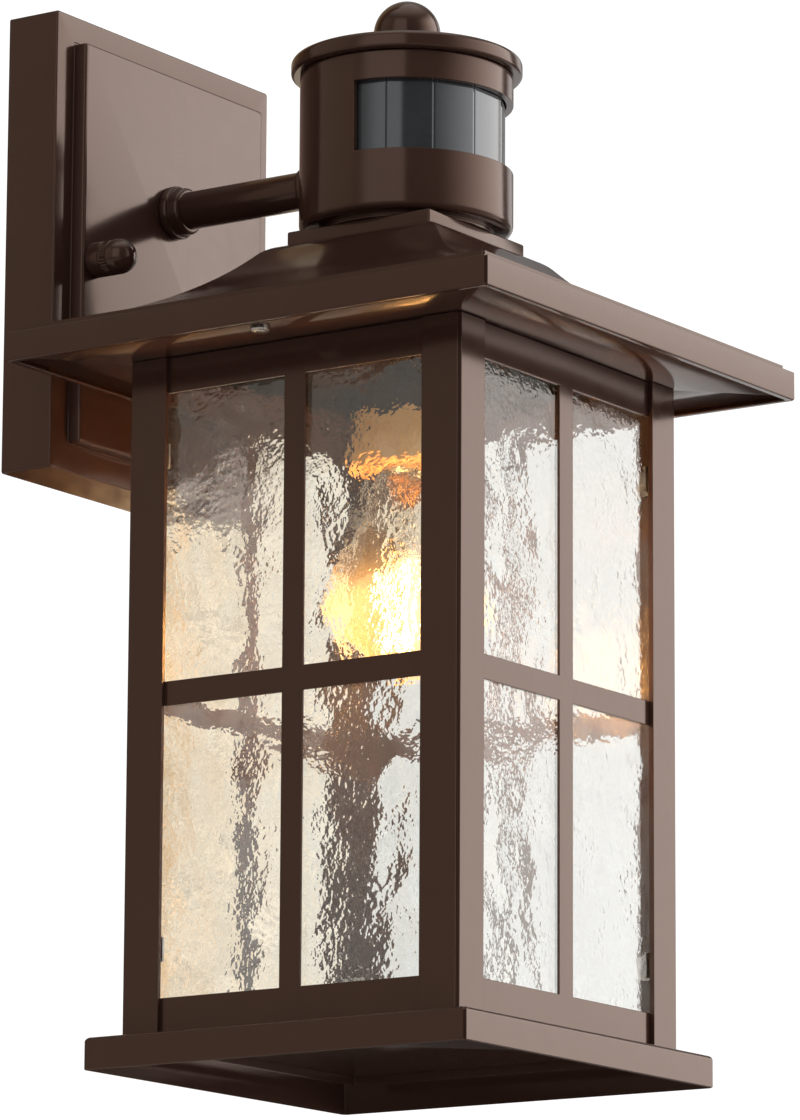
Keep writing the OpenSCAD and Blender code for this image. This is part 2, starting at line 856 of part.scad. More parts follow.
filament_stem();
filaments();
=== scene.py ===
import math

import bmesh
import bpy
import numpy as np
from mathutils import Matrix, Vector


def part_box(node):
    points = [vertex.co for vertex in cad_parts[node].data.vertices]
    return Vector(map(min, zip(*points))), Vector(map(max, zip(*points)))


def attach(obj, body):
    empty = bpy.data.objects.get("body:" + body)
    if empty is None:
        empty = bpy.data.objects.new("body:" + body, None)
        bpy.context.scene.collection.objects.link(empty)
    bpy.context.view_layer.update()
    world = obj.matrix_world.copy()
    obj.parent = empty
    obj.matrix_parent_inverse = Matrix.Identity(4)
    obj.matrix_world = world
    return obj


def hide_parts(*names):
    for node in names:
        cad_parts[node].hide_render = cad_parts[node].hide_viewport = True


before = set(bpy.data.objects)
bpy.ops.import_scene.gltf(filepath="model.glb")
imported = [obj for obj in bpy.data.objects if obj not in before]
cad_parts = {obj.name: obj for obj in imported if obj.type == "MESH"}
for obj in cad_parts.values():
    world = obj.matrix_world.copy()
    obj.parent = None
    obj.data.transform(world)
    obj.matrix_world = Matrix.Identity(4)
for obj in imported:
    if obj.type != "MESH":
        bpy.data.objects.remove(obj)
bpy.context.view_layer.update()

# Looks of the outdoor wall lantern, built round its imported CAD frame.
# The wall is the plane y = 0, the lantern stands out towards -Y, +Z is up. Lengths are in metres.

MM = 0.001
scene = bpy.context.scene


# ---------------------------------------------------------------- places taken from the frame

def low(node):
    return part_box(node)[0]


def high(node):
    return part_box(node)[1]


def middle(node):
    return (low(node) + high(node)) / 2


def half(node, axis=0):
    """Half of a node's size along one axis."""
    return (high(node)[axis] - low(node)[axis]) / 2


AXIS_Y = middle("housing_cap").y
CROWN_Z = low("step_plate").z
STEP_TOP = high("step_plate").z
SOFFIT_Z = low("soffit_plate").z
TRAY_Z = high("base_tray").z
PLATE_FRONT = -low("wall_plate").y
ARM_Z = middle("arm_tube").z
ROOF_HALF = half("roof_shell")
CAGE_HALF = half("corner_posts")
SHEET = 1.2 * MM


# ---------------------------------------------------------------- node-based finishes

COAT_ROUGHNESS = 0.08
GLASS_IOR = 1.5


def link(tree, source, target):
    tree.links.new(source, target)


def new_material(name):
    """A material, its node tree and the Principled shader in it."""
    material = bpy.data.materials.new(name)
    material.use_nodes = True
    tree = material.node_tree
    return material, tree, tree.nodes["Principled BSDF"]


def noise(tree, grain, detail=4.0):
    """Noise whose lumps are about grain wide, in the piece's own coordinates."""
    coordinates = tree.nodes.new("ShaderNodeTexCoord")
    texture = tree.nodes.new("ShaderNodeTexNoise")
    texture.inputs["Scale"].default_value = 1 / grain
    texture.inputs["Detail"].default_value = detail
    link(tree, coordinates.outputs["Object"], texture.inputs["Vector"])
    return texture.outputs["Fac"]


def blend_colours(tree, factor, first, second, start=0.35, end=0.65):
    """A colour that goes from first to second as factor goes from start to end."""
    ramp = tree.nodes.new("ShaderNodeValToRGB")
    ramp.color_ramp.elements[0].position = start
    ramp.color_ramp.elements[0].color = (*first, 1)
    ramp.color_ramp.elements[1].position = end
    ramp.color_ramp.elements[1].color = (*second, 1)
    link(tree, factor, ramp.inputs["Fac"])
    return ramp.outputs["Color"]


def remap(tree, factor, first, second, start=0.3, end=0.7, course="LINEAR"):
    """A value that goes from first to second as factor goes from start to end."""
    node = tree.nodes.new("ShaderNodeMapRange")
    node.interpolation_type = course
    for socket, value in (("From Min", start), ("From Max", end), ("To Min", first), ("To Max", second)):
        node.inputs[socket].default_value = value
    link(tree, factor, node.inputs["Value"])
    return node.outputs["Result"]


def step_between(tree, factor, start, end, first=0.0, second=1.0):
    """A soft step from first to second as factor goes from start to end."""
    return remap(tree, factor, first, second, start, end, "SMOOTHSTEP")


def bump(tree, heights, shader):
    """Chains bumps, each given as (height socket, depth in metres), into the shader's normal."""
    normal = None
    for socket, depth in heights:
        node = tree.nodes.new("ShaderNodeBump")
        node.inputs["Strength"].default_value = 1.0
        node.inputs["Distance"].default_value = depth
        link(tree, socket, node.inputs["Height"])
        if normal is not None:
            link(tree, normal, node.inputs["Normal"])
        normal = node.outputs["Normal"]
    link(tree, normal, shader.inputs["Normal"])


def surface(name, dark, light, rough, grain, bumps, metallic=0.0, coat=0.0, tint=(1, 1, 1), ior=1.5):
    """A finish mottled between two tones. bumps is a list of (grain, depth), rough a pair of roughnesses."""
    material, tree, shader = new_material(name)
    link(tree, blend_colours(tree, noise(tree, grain), dark, light), shader.inputs["Base Color"])
    link(tree, remap(tree, noise(tree, grain * 0.4), *rough), shader.inputs["Roughness"])
    shader.inputs["Metallic"].default_value = metallic
    shader.inputs["Coat Weight"].default_value = coat
    shader.inputs["Coat Roughness"].default_value = COAT_ROUGHNESS
    shader.inputs["Specular Tint"].default_value = (*tint, 1)
    shader.inputs["IOR"].default_value = ior
    bump(tree, [(noise(tree, size, 2.0), depth) for size, depth in bumps], shader)
    return material


def place_of(tree, kind="Object"):
    """X, Y and Z outputs: of a point of the piece, or of a direction of the sky where kind is Generated."""
    coordinates = tree.nodes.new("ShaderNodeTexCoord")
    parts = tree.nodes.new("ShaderNodeSeparateXYZ")
    link(tree, coordinates.outputs[kind], parts.inputs["Vector"])
    return parts.outputs


def maths(tree, operation, *sources):
    """One maths node on sockets and plain numbers."""
    node = tree.nodes.new("ShaderNodeMath")
    node.operation = operation
    for place, source in enumerate(sources):
        if isinstance(source, (int, float)):
            node.inputs[place].default_value = source
        else:
            link(tree, source, node.inputs[place])
    return node.outputs["Value"]


def mix_shaders(tree, factor, first, second):
    """A shader that goes from first to second as factor goes from 0 to 1."""
    node = tree.nodes.new("ShaderNodeMixShader")
    link(tree, factor, node.inputs["Fac"])
    link(tree, first, node.inputs[1])
    link(tree, second, node.inputs[2])
    return node.outputs["Shader"]


def add_crinkle(tree, shader, depth):
    """Fine ripples of that depth, in patches."""
    patch, ripple = 26 * MM, 2.1 * MM
    patches = remap(tree, noise(tree, patch, 2.0), 0.3, 1.0, 0.35, 0.6)
    heights = maths(tree, "MULTIPLY", noise(tree, ripple, 1.0), patches)
    bump(tree, [(heights, depth)], shader)


def haze_level(tree, haze, clear_above):
    """How much haze each point has: a little uneven, and far less above a height where one is given."""
    patch, fade, least = 18 * MM, 30 * MM, 0.12
    level = remap(tree, noise(tree, patch), haze * 0.6, haze * 1.4)
    if clear_above is None:
        return level
    fall = step_between(tree, place_of(tree)["Z"], clear_above - fade, clear_above, 1.0, least)
    return maths(tree, "MULTIPLY", level, fall)


def glass(name, tint, haze_tint, haze, clear_above=None, crinkle=0.0):
    """Clear glass with a little haze that catches light. Lamps shine straight through it."""
    material, tree, shader = new_material(name)
    mottle = noise(tree, 60 * MM)
    lighter = [min(1.0, c * 1.02) for c in tint]
    link(tree, blend_colours(tree, mottle, tint, lighter), shader.inputs["Base Color"])
    shader.inputs["Roughness"].default_value = 0.0
    shader.inputs["IOR"].default_value = GLASS_IOR
    shader.inputs["Transmission Weight"].default_value = 1.0
    if crinkle > 0:
        add_crinkle(tree, shader, crinkle)
    cloud = tree.nodes.new("ShaderNodeBsdfTranslucent")
    cloud.inputs["Color"].default_value = (*haze_tint, 1)
    level = haze_level(tree, haze, clear_above)
    hazy = mix_shaders(tree, level, shader.outputs["BSDF"], cloud.outputs["BSDF"])
    clear = tree.nodes.new("ShaderNodeBsdfTransparent")
    clear.inputs["Color"].default_value = (*tint, 1)
    rays = tree.nodes.new("ShaderNodeLightPath")
    chosen = mix_shaders(tree, rays.outputs["Is Shadow Ray"], hazy, clear.outputs["BSDF"])
    link(tree, chosen, tree.nodes["Material Output"].inputs["Surface"])
    return material


def paint_shade_above(material, height, colour):
    """Paints shade over a finish above a height: the colour given there is painted shade, where the lamp's
    light doesn't reach.
    """
    tree = material.node_tree
    base = tree.nodes["Principled BSDF"].inputs["Base Color"]
    edge = 0.3 * MM
    above = step_between(tree, place_of(tree)["Z"], height - edge, height + edge)
    mix = tree.nodes.new("ShaderNodeMix")
    mix.data_type = "RGBA"
    link(tree, above, mix.inputs["Factor"])
    link(tree, base.links[0].from_socket, mix.inputs["A"])
    mix.inputs["B"].default_value = (*colour, 1)
    link(tree, mix.outputs["Result"], base)


def glowing(name, colour, strength, grain):
    """A lit surface, a little uneven along its length."""
    material, tree, shader = new_material(name)
    shader.inputs["Base Color"].default_value = (0.9, 0.6, 0.25, 1)
    paler = [min(1.0, c * 1.25) for c in colour]
    link(tree, blend_colours(tree, noise(tree, grain), colour, paler), shader.inputs["Emission Color"])
    shader.inputs["Emission Strength"].default_value = strength
    shader.inputs["Roughness"].default_value = 0.6
    return material


FINE_PEEL = [(2.2 * MM, 0.0022 * MM), (0.4 * MM, 0.0008 * MM)]
METAL = {"metallic": 1.0}
PLAIN = {}

# Dark tone, light tone, roughness from and to, grain of the mottle, bumps as (grain, depth), and extras
SURFACES = {
    "bronze_paint": ((0.052, 0.0262, 0.0205), (0.057, 0.0288, 0.0226), (0.13, 0.17), 14 * MM, FINE_PEEL,
                     {"tint": (1.0, 0.74, 0.62), "ior": 1.6}),
    "zinc_steel": ((0.50, 0.49, 0.46), (0.66, 0.66, 0.65), (0.26, 0.44), 5 * MM,
                   [(0.6 * MM, 0.01 * MM)], METAL),
    "bright_screw": ((0.60, 0.59, 0.57), (0.74, 0.73, 0.71), (0.18, 0.32), 2 * MM,
                     [(0.3 * MM, 0.006 * MM)], METAL),
    "brass": ((0.62, 0.40, 0.14), (0.78, 0.54, 0.22), (0.20, 0.36), 4 * MM,
              [(0.5 * MM, 0.008 * MM)], METAL),
    # porcelain: its amber tones are painted lamp glow, the bulb's warm light painted into a pale socket's
    # colour.
    "porcelain": ((0.86, 0.47, 0.15), (0.94, 0.60, 0.24), (0.16, 0.26), 7 * MM,
                  [(3.0 * MM, 0.03 * MM)], {"coat": 0.3}),
    "black_plastic": ((0.014, 0.014, 0.015), (0.022, 0.022, 0.024), (0.38, 0.5), 4 * MM,
                      [(0.3 * MM, 0.012 * MM)], PLAIN),
    "board_green": ((0.018, 0.10, 0.045), (0.03, 0.16, 0.07), (0.3, 0.42), 2.4 * MM,
                    [(1.2 * MM, 0.02 * MM)], {"coat": 0.4}),
    "part_blue": ((0.02, 0.07, 0.26), (0.03, 0.10, 0.33), (0.32, 0.42), 4 * MM,
                  [(0.4 * MM, 0.01 * MM)], PLAIN),
    "sleeve_grey": ((0.035, 0.035, 0.05), (0.055, 0.055, 0.07), (0.3, 0.4), 3 * MM,
                    [(0.8 * MM, 0.01 * MM)], PLAIN),
    "dial_white": ((0.62, 0.62, 0.60), (0.70, 0.70, 0.68), (0.36, 0.46), 2 * MM,
                   [(0.3 * MM, 0.008 * MM)], PLAIN),
    "dial_amber": ((0.70, 0.32, 0.03), (0.80, 0.40, 0.05), (0.36, 0.46), 2 * MM,
                   [(0.3 * MM, 0.008 * MM)], PLAIN),
    "foam": ((0.010, 0.010, 0.010), (0.022, 0.022, 0.022), (0.85, 0.95), 1.5 * MM,
             [(0.8 * MM, 0.25 * MM)], PLAIN),
    "ground_green": ((0.02, 0.17, 0.05), (0.03, 0.22, 0.07), (0.3, 0.45), 2 * MM,
                     [(0.4 * MM, 0.01 * MM)], {"coat": 0.2}),
    "lead_green": ((0.015, 0.15, 0.04), (0.02, 0.19, 0.055), (0.4, 0.5), 3 * MM,
                   [(0.5 * MM, 0.01 * MM)], PLAIN),
    "lead_black": ((0.012, 0.012, 0.012), (0.02, 0.02, 0.02), (0.4, 0.5), 3 * MM,
                   [(0.5 * MM, 0.01 * MM)], PLAIN),
    "lead_white": ((0.62, 0.60, 0.55), (0.70, 0.68, 0.63), (0.4, 0.5), 3 * MM,
                   [(0.5 * MM, 0.01 * MM)], PLAIN),
    "wire_nut": ((0.58, 0.20, 0.03), (0.68, 0.26, 0.05), (0.4, 0.52), 2 * MM,
                 [(0.4 * MM, 0.02 * MM)], PLAIN),
    "sensor_lens": ((0.028, 0.034, 0.038), (0.034, 0.041, 0.046), (0.06, 0.09), 6 * MM,
                    [(3.0 * MM, 0.004 * MM)], {"coat": 0.3, "tint": (0.80, 0.90, 1.0), "ior": 1.85}),
}
FINISHES = {name: surface(name, *row, **extras) for name, (*row, extras) in SURFACES.items()}
FINISHES["water_glass"] = glass("water_glass", (0.95, 0.965, 0.96), (0.80, 0.95, 1.0), 0.008,
                                crinkle=0.16 * MM)
FINISHES["bulb_glass"] = glass("bulb_glass", (1.0, 0.96, 0.88), (1.0, 0.80, 0.50), 0.08,
                               clear_above=middle("filaments").z + 26 * MM)
FINISHES["filament"] = glowing("filament", (1.0, 0.55, 0.20), 50.0, 3 * MM)
# Painted shade: the lampholder is painted dark above its middle, where the bulb's light doesn't reach it.
paint_shade_above(FINISHES["porcelain"], middle("lampholder").z, (0.045, 0.032, 0.027))


# ---------------------------------------------------------------- mesh helpers

def add_piece(name, shape, finish, body, stands_for, bevel=0.0, sharp=32):
    """Makes a piece from (points, faces), with smooth shading up to the sharp angle, and rides it."""
    points, faces = shape
    mesh = bpy.data.meshes.new(name)
    mesh.from_pydata([tuple(p) for p in points], [], faces)
    work = bmesh.new()
    work.from_mesh(mesh)
    bmesh.ops.remove_doubles(work, verts=work.verts, dist=1e-7)
    bmesh.ops.recalc_face_normals(work, faces=work.faces)
    work.to_mesh(mesh)
    work.free()
    mesh.materials.append(FINISHES[finish])
    piece = bpy.data.objects.new(name, mesh)
    scene.collection.objects.link(piece)
    soften(piece, bevel, sharp)
    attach(piece, body)
    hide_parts(*stands_for)


def soften(piece, width, sharp):
    """Smooth shading that stays sharp over the given angle, with rounded edges where width is set."""
    piece.data.shade_smooth()
    piece.data.set_sharp_from_angle(angle=math.radians(sharp))
    if width:
        modifier = piece.modifiers.new("edges", "BEVEL")
        modifier.width = width
        modifier.segments = 2
        modifier.limit_method = "ANGLE"
        modifier.angle_limit = math.radians(sharp)
        modifier.harden_normals = True


def joined(*shapes):
    """Several shapes as one."""
    points, faces = [], []
    for more_points, more_faces in shapes:
        start = len(points)
        points += list(more_points)
        faces += [[start + i for i in face] for face in more_faces]
    return points, faces


def moved(shape, place):
    """A shape with place(point) applied to each point."""
    points, faces = shape
    return [place(Vector(p)) for p in points], faces


def loft(rings, closed=True):
    """Quads between successive rings of equally many points. closed joins the last ring to the first."""
    count = len(rings[0])
    points = [p for ring in rings for p in ring]
    faces = []
    pairs = [(i, (i + 1) % len(rings)) for i in range(len(rings) if closed else len(rings) - 1)]
    for a, b in pairs:
        for k in range(count):
            n = (k + 1) % count
            faces.append([a * count + k, a * count + n, b * count + n, b * count + k])
    return points, faces


def lathe(profile, steps, knurls=0):
    """Turns (radius, height) points round +Z. A third number is the depth of the knurls at that point."""
    rings = []
    for radius, height, *knurl in profile:
        depth = knurl[0] if knurl else 0.0
        ring = []
        for k in range(steps):
            angle = 2 * math.pi * k / steps
            r = radius - depth * (0.5 - 0.5 * math.cos(knurls * angle))
            ring.append((r * math.cos(angle), r * math.sin(angle), height))
        rings.append(ring)
    return merged(*loft(rings))


def merged(points, faces):
    """Drops the corners that fall on one another, as on a turned shape's axis, and the faces they empty."""
    index, kept, where = {}, [], []
    for p in points:
        key = tuple(round(c * 1e7) for c in p)
        if key not in index:
            index[key] = len(kept)
            kept.append(p)
        where.append(index[key])
    clean = []
    for face in faces:
        corners = []
        for i in face:
            if where[i] not in corners:
                corners.append(where[i])
        if len(corners) > 2:
            clean.append(corners)
    return kept, clean


def arc(centre, radius, start, end, steps):
    """Points on an arc round a centre, from start to end in degrees."""
    angles = [math.radians(start + (end - start) * i / steps) for i in range(steps + 1)]
    return [(centre[0] + radius * math.cos(a), centre[1] + radius * math.sin(a)) for a in angles]


def curve_points(a, b, c, steps):
    """Points on a quadratic curve from a to c that leaves and arrives along b."""
    found = []
    for i in range(steps + 1):
        t = i / steps
        found.append(tuple((1 - t) ** 2 * p + 2 * t * (1 - t) * q + t * t * r for p, q, r in zip(a, b, c)))
    return found


def rounded_outline(half_a, half_b, radius, steps):
    """A rectangle's outline with rounded corners, as (a, b) points."""
    found = []
    for corner, (sign_a, sign_b) in enumerate(((1, 1), (-1, 1), (-1, -1), (1, -1))):
        centre = (sign_a * (half_a - radius), sign_b * (half_b - radius))
        found += arc(centre, radius, corner * 90, corner * 90 + 90, steps)
    return found


def notched_outline(size, cut):
    """A square's outline with a small square rebate along each corner, as (a, b) points."""
    ease = 0.1 * MM
    corner = [(size, size - cut), (size - cut + ease, size - cut), (size - cut, size - cut + ease),
              (size - cut, size)]
    found = []
    for quarter in range(4):
        for a, b in corner:
            for _ in range(quarter):
                a, b = -b, a
            found.append((a, b))
    return found


def square_turn(profile, corner):
    """A four-sided shape from (half width, height) points, closed on itself. Its corners are rounded,
    or rebated where a point has a third number, the rebate's depth."""
    rings = []
    for size, height, *cut in profile:
        rounding = min(corner, size * 0.5)
        outline = notched_outline(size, cut[0]) if cut else rounded_outline(size, size, rounding, 3)
        rings.append([(a, b, height) for a, b in outline])
    return loft(rings)


def thick_grid(us, outer, inner, keep, wrap=False):
    """A sheet of cells with openings. outer and inner are lists of functions of u, one for each level.
    keep(i, j) says whether the cell between levels j, j+1 and us i, i+1 is there."""
    levels, columns = len(outer), len(us)
    points = [outer[j](u) for j in range(levels) for u in us]
    points += [inner[j](u) for j in range(levels) for u in us]
    offset = levels * columns
    cells = columns if wrap else columns - 1

    def there(i, j):
        if j < 0 or j >= levels - 1:
            return False
        if wrap:
            i %= columns
        elif i < 0 or i >= cells:
            return False
        return keep(i, j)

    faces = []
    for j in range(levels - 1):
        for i in range(cells):
            if not keep(i, j):
                continue
            n = (i + 1) % columns
            a, b, c, d = (j * columns + i, j * columns + n, (j + 1) * columns + n, (j + 1) * columns + i)
            faces.append([a, b, c, d])
            faces.append([offset + d, offset + c, offset + b, offset + a])
            for beside, first, second in (((i, j - 1), a, b), ((i + 1, j), b, c), ((i, j + 1), c, d),
                                          ((i - 1, j), d, a)):
                if not there(*beside):
                    faces.append([second, first, offset + first, offset + second])
    return points, faces


def on_axis(shape):
    """A shape made round the origin's upright line, put on the lantern's axis."""
    return moved(shape, lambda p: (p.x, p.y + AXIS_Y, p.z))


def from_wall(x, z):
    """A placer that turns a shape's +Z away from the wall, at that x and z."""
    return lambda p: (p.x + x, -p.z, p.y + z)


def turned(shape, quarter):
    """A shape turned by quarter turns about the upright line through the origin."""
    spin = Matrix.Rotation(math.radians(90 * quarter), 3, "Z")
    return moved(shape, lambda p: spin @ p)


# ---------------------------------------------------------------- wall side

STUD_HOLE, STUD_DEPTH = 2.05 * MM, 13 * MM


def make_wall_plate():
    """A shallow pressed box with a bevelled, raised panel, open at the wall."""
    size = (half("wall_plate"), half("wall_plate", 2))
    centre_z = middle("wall_plate").z
    panel_rise, border, wall, rounding, fold = 6 * MM, 12 * MM, 1.5 * MM, 0.8 * MM, 1 * MM
    box_depth = PLATE_FRONT - panel_rise

    def ring(inset, depth, radius):
        outline = rounded_outline(size[0] - inset, size[1] - inset, radius, 6)
        return [(a, -depth, b + centre_z) for a, b in outline]

    inside = [ring(border + 2 * wall, PLATE_FRONT - wall, fold),
              ring(border + 2 * wall, box_depth - wall, fold),
              ring(wall + fold, box_depth - wall, fold),
              ring(wall, box_depth - wall - fold, 1.5 * MM),
              ring(wall, 0, 1.5 * MM)]
    edge = arc((rounding, box_depth - rounding), rounding, 180, 90, 5)
    groove = [(1.0, 0.0), (0.7, -0.35), (0.3, -0.35), (0.0, 0.1)]
    panel = [(0.0, 1.1), (0.1, 0.75), (0.35, 0.35), (0.75, 0.1), (1.1, 0.0)]
    outside = [ring(0, 0, 1.2 * MM)]
    outside += [ring(inset, depth, 1.2 * MM) for inset, depth in edge]
    outside += [ring(border - inset * MM, box_depth + rise * MM, 1.4 * MM) for inset, rise in groove]
    outside += [ring(border + inset * MM, PLATE_FRONT - fall * MM, 1.3 * MM) for inset, fall in panel]
    points, faces = loft(inside + outside, closed=False)
    count = len(inside[0])
    faces.append(list(range(count)))
    faces.append(list(range(len(points) - count, len(points))))
    add_piece("wall_plate_pressed", (points, faces), "bronze_paint", "head", ["wall_plate"])


def make_cap_nut(node, body):
    """A domed nut with a knurled band between two plain ones."""
    start, length = -high(node).y, high(node).y - low(node).y
    r, top, dome_height, knurl = half(node) / MM, length / MM, 7.4, 0.35
    hole, depth = STUD_HOLE / MM, STUD_DEPTH / MM
    profile = [(hole, 0), (r - 0.4, 0), (r, 0.4), (r, 6.0), (r - 0.35, 6.3), (r - 0.35, 6.8),
               (r - 0.05, 7.1), (r - 0.05, 7.25, knurl), (r - 0.05, 9.95, knurl), (r - 0.05, 10.1),
               (r - 0.35, 10.4), (r - 0.35, 10.9), (r, 11.2)]
    profile += [(r * a, top - dome_height + b * dome_height) for a, b in arc((0, 0), 1, 0, 90, 14)]
    profile[-1] = (0, top)
    profile += [(0, depth), (hole, depth)]
    profile = [tuple(v * MM for v in entry) for entry in profile]
    shape = moved(lathe(profile, 144, knurls=36), from_wall(middle(node).x, middle(node).z))
    shape = moved(shape, lambda p: (p.x, p.y - start, p.z))
    add_piece(node + "_turned", shape, "bronze_paint", body, [node], sharp=24)


def make_arm():
    """The plain tube, its stepped flange on the plate and its collar at the housing."""
    r, bore = half("arm_tube") / MM, 5.0
    front, end = PLATE_FRONT / MM, -low("arm_tube").y / MM
    collar_start = end - 7.0
    tube = [(r, front), (r, end), (bore, end), (bore, front)]
    flange = [(r, 0), (r + 2.9, 0), (r + 3.3, 0.4), (r + 3.3, 2.6), (r + 3.0, 3.2), (r + 2.3, 3.5),
              (r + 2.0, 3.8), (r + 1.9, 4.3), (r + 1.9, 7.0), (r + 1.7, 7.6), (r + 1.1, 8.2),
              (r + 0.4, 8.6), (r, 8.6)]
    collar = [(r, 0), (r + 1.1, 0), (r + 1.4, 0.3), (r + 1.4, 1.4), (r + 1.6, 1.8), (r + 2.3, 2.0),
              (r + 2.6, 2.4), (r + 2.6, 6.8), (r, 6.8)]
    for name, profile, start in (("arm_tube", tube, 0), ("arm_flange", flange, front),
                                 ("arm_collar", collar, collar_start)):
        profile = [(radius * MM, (height + start) * MM) for radius, height in profile]
        shape = moved(lathe(profile, 96), from_wall(0, ARM_Z))
        add_piece(name + "_turned", shape, "bronze_paint", "head", [name], sharp=30)


# ---------------------------------------------------------------- sensor head

def make_housing():
    """The cup with its window, turned round the axis with the window's middle at the front."""
    top, radius = high("sensor_housing").z, half("sensor_housing")
    wall, rounding, stem_hole = 3 * MM, 3 * MM, 5 * MM
    ease, chamfer = 0.4 * MM, 0.3 * MM
    bore, foot = radius - wall, radius - 8 * MM
    base = STEP_TOP + 1.9 * MM
    floor = base + wall
    window = base + 24.7 * MM
    head = window + 29.5 * MM
    half_sweep, step = 85.0, 2.5
    outer = [(stem_hole, STEP_TOP), (foot - chamfer, STEP_TOP), (foot, STEP_TOP + chamfer), (foot, base)]
    outer += arc((radius - rounding, base + rounding), rounding, -90, 0, 6)
    outer += [(radius, window), (radius, head), (radius, top - ease), (radius - ease, top)]
    inner = [(stem_hole, floor)] + [(bore - 4 * MM, floor)] * (len(outer) - 6) + [(bore, floor)]
    inner += [(bore, window), (bore, head), (bore, top - ease), (bore, top)]
    us = [math.radians(step * i) for i in range(int(360 / step))]
    sill = len(outer) - 4

    def at(profile):
        return [lambda u, p=p: (p[0] * math.sin(u), -p[0] * math.cos(u), p[1]) for p in profile]

    def keep(i, j):
        degrees = (i + 0.5) * step
        in_front = min(degrees, 360 - degrees) < half_sweep
        return not (j == sill and in_front)

    shape = merged(*thick_grid(us, at(outer), at(inner), keep, wrap=True))
    add_piece("sensor_housing_cup", on_axis(shape), "bronze_paint", "head", ["sensor_housing"],
              bevel=0.35 * MM, sharp=40)


def make_lens():
    """A curved cover in flats, parted by upright grooves."""
    outer_r, thickness = 40.9 * MM, 2.2 * MM
    levels = [low("sensor_lens").z, high("sensor_lens").z]
    edge, step = 88.0, 0.5
    groove_step, groove_half, depth = 27.0, 0.75, 0.25 * MM
    flatness = 0.45
    us = [math.radians(-edge + step * i) for i in range(int(2 * edge / step) + 1)]

    def radius(u):
        place = (math.degrees(u) - groove_step / 2) % groove_step
        beside = min(place, groove_step - place)
        flat = math.cos(math.radians(groove_step / 2)) / math.cos(math.radians(place - groove_step / 2))
        cut = depth * max(0.0, 1 - beside / groove_half)
        return outer_r * (flatness * flat + 1 - flatness) - cut

    def outside(height):
        return lambda u: (radius(u) * math.sin(u), -radius(u) * math.cos(u), height)

    def inside(height):
        r = outer_r - thickness
        return lambda u: (r * math.sin(u), -r * math.cos(u), height)

    shape = thick_grid(us, [outside(z) for z in levels], [inside(z) for z in levels], lambda i, j: True)
    add_piece("sensor_lens_moulded", on_axis(shape), "sensor_lens", "head", ["sensor_lens"], sharp=20)


def make_cap():
    """The flat cap with a rounded brim and a spigot inside the housing."""
    top, radius = high("housing_cap").z, half("housing_cap")
    seat, underside = top - 7 * MM, top - 2.5 * MM
    spigot, spigot_wall, spigot_end = 40.6 * MM, 2 * MM, seat - 3 * MM
    hem, rounding, ease, hole = 1.4 * MM, 2.5 * MM, 0.4 * MM, 2.3 * MM
    profile = [(spigot - spigot_wall, spigot_end), (spigot - ease, spigot_end), (spigot, spigot_end + ease),
               (spigot, seat), (radius - hem, seat)]
    profile += arc((radius - hem, seat + hem), hem, -80, 0, 5)
    profile += arc((radius - rounding, top - rounding), rounding, 0, 90, 8)
    profile += [(30 * MM, top), (hole, top), (hole, underside), (spigot - spigot_wall, underside)]
    add_piece("housing_cap_turned", on_axis(lathe(profile, 144)), "bronze_paint", "cap", ["housing_cap"])


def make_finial():
    """A ball flattened where it sits on the cap, with its threaded hole."""
    radius, seat, top = half("ball_finial"), low("ball_finial").z, high("ball_finial").z
    centre = top - radius
    start = math.degrees(math.asin((seat - centre) / radius))
    profile = [(STUD_HOLE, seat)] + arc((0, centre), radius, start, 90, 40)
    profile[-1] = (0, top)
    profile += [(0, seat + STUD_DEPTH), (STUD_HOLE, seat + STUD_DEPTH)]
    add_piece("ball_finial_turned", on_axis(lathe(profile, 96)), "bronze_paint", "finial", ["ball_finial"])


# ---------------------------------------------------------------- roof

def make_step_plate():
    """The square plate between the sensor housing and the roof, with the stem's hole."""
    size, hole = half("step_plate"), 5.1 * MM
    rounding, ease = 0.7 * MM, 0.2 * MM
    profile = [(hole, CROWN_Z), (size - ease, CROWN_Z), (size, CROWN_Z + ease)]
    profile += arc((size - rounding, STEP_TOP - rounding), rounding, 0, 90, 4)
    profile += [(hole, STEP_TOP)]
    shape = on_axis(square_turn(profile, 0.8 * MM))
    add_piece("step_plate_cut", shape, "bronze_paint", "head", ["step_plate"])


